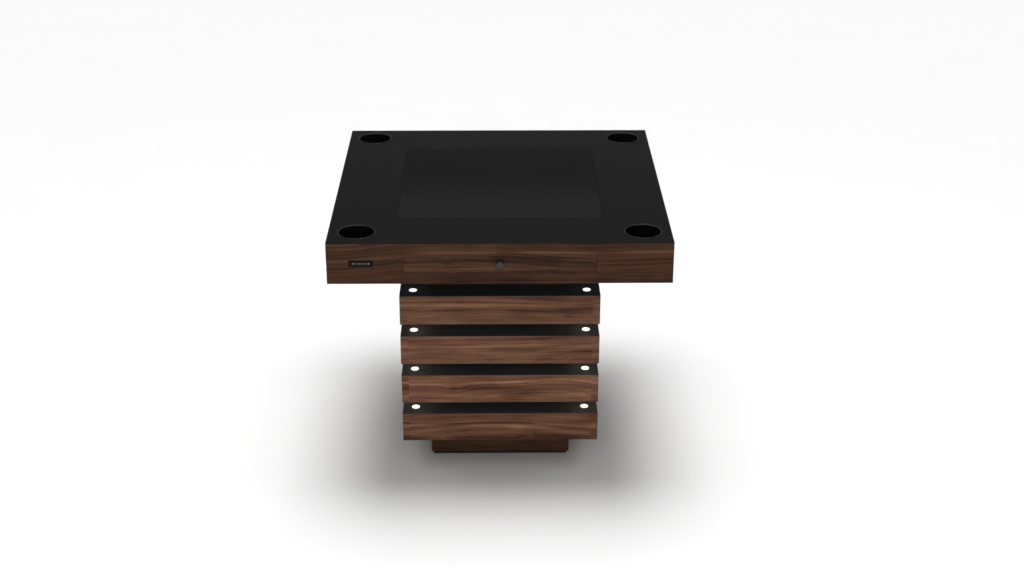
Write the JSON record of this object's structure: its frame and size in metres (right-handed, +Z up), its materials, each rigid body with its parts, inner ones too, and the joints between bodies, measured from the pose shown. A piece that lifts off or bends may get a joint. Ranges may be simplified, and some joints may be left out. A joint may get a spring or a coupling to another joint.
{
  "type": "gaming table",
  "caption": "Square gaming table: walnut box top with a flush black glass panel, drop-in cup holders and a drawer, on a column of stacked lit tiers.",
  "frame": {"origin": "on the floor, under the middle of the square top", "axes": "+Z up, the drawer and name plate face -Y, +X to the right of someone who faces the drawer"},
  "size_m": [0.9, 0.918, 0.77],
  "materials": {
    "walnut": "satin oiled walnut veneer",
    "black_top": "satin black compact laminate",
    "black_board": "black stained board",
    "plywood": "sanded birch plywood",
    "black_glass": "back-painted gloss black",
    "black_trim": "fine satin black",
    "foam_tape": "matt foam",
    "cup_plastic": "satin moulded black",
    "felt": "short charcoal felt",
    "knob_metal": "satin graphite",
    "zinc_steel": "bright zinc",
    "light_lens": "opal diffuser, lit white",
    "light_body": "turned aluminium",
    "black_plastic": "fine moulded grain",
    "cable": "smooth flexible sheath",
    "foot_rubber": "matt"
  },
  "bodies": {
    "table": {"apron_back": "walnut", "apron_front": "walnut", "apron_left": "walnut", "apron_right": "walnut", "foot_pad": "foot_rubber", "light_bodies": "light_body", "light_power_supply": "black_plastic", "light_wiring": "cable", "name_plate": "black_trim", "neck_boards": "walnut", "panel_bedding_tape": "foam_tape", "panel_glass": "black_glass", "panel_trim": "black_trim", "plinth_boards": "walnut", "plinth_floor": "plywood", "power_inlet": "black_plastic", "runner_boards": "plywood", "runner_channel_left": "zinc_steel", "runner_channel_right": "zinc_steel", "tie_rod_nuts": "zinc_steel", "tie_rod_washers": "zinc_steel", "tie_rods": "zinc_steel", "tier_1_boards": "walnut", "tier_1_bottom": "black_board", "tier_1_light_lenses": "light_lens", "tier_1_top": "black_top", "tier_2_boards": "walnut", "tier_2_bottom": "black_board", "tier_2_light_lenses": "light_lens", "tier_2_top": "black_top", "tier_3_boards": "walnut", "tier_3_bottom": "black_board", "tier_3_light_lenses": "light_lens", "tier_3_top": "black_top", "tier_4_boards": "walnut", "tier_4_bottom": "black_board", "tier_4_light_lenses": "light_lens", "tier_4_top": "black_top", "tier_spacer_1": "black_board", "tier_spacer_2": "black_board", "tier_spacer_3": "black_board", "top_base": "black_board", "top_core": "plywood", "top_skin": "black_top"},
    "drawer": {"drawer_front": "walnut", "drawer_side_left": "plywood", "drawer_side_right": "plywood", "drawer_back": "plywood", "drawer_bottom": "plywood", "drawer_liner": "felt", "drawer_knob": "knob_metal", "knob_screw": "zinc_steel", "runner_slide_left": "zinc_steel", "runner_slide_right": "zinc_steel"},
    "runner_middle_left": {"runner_middle_left": "zinc_steel"},
    "runner_middle_right": {"runner_middle_right": "zinc_steel"},
    "cup_holder_front_left": {"cup_holder_front_left": "cup_plastic"},
    "cup_holder_front_right": {"cup_holder_front_right": "cup_plastic"},
    "cup_holder_back_left": {"cup_holder_back_left": "cup_plastic"},
    "cup_holder_back_right": {"cup_holder_back_right": "cup_plastic"}
  },
  "joints": [
    {"name": "drawer_slide", "type": "slide", "parent": "table", "child": "drawer", "axis": [0, -1, 0], "range_m": [0, 0.3]},
    {"name": "runner_middle_left_slide", "type": "slide", "parent": "table", "child": "runner_middle_left", "axis": [0, -1, 0], "range_m": [0, 0.15]},
    {"name": "runner_middle_right_slide", "type": "slide", "parent": "table", "child": "runner_middle_right", "axis": [0, -1, 0], "range_m": [0, 0.15]},
    {"name": "cup_holder_front_left_lift", "type": "slide", "parent": "table", "child": "cup_holder_front_left", "axis": [0, 0, 1], "range_m": [0, 0.08]},
    {"name": "cup_holder_front_right_lift", "type": "slide", "parent": "table", "child": "cup_holder_front_right", "axis": [0, 0, 1], "range_m": [0, 0.08]},
    {"name": "cup_holder_back_left_lift", "type": "slide", "parent": "table", "child": "cup_holder_back_left", "axis": [0, 0, 1], "range_m": [0, 0.08]},
    {"name": "cup_holder_back_right_lift", "type": "slide", "parent": "table", "child": "cup_holder_back_right", "axis": [0, 0, 1], "range_m": [0, 0.08]}
  ],
  "couplings": [
    {"joint": "runner_middle_left_slide", "follows": "drawer_slide", "ratio": 0.5},
    {"joint": "runner_middle_right_slide", "follows": "drawer_slide", "ratio": 0.5}
  ]
}
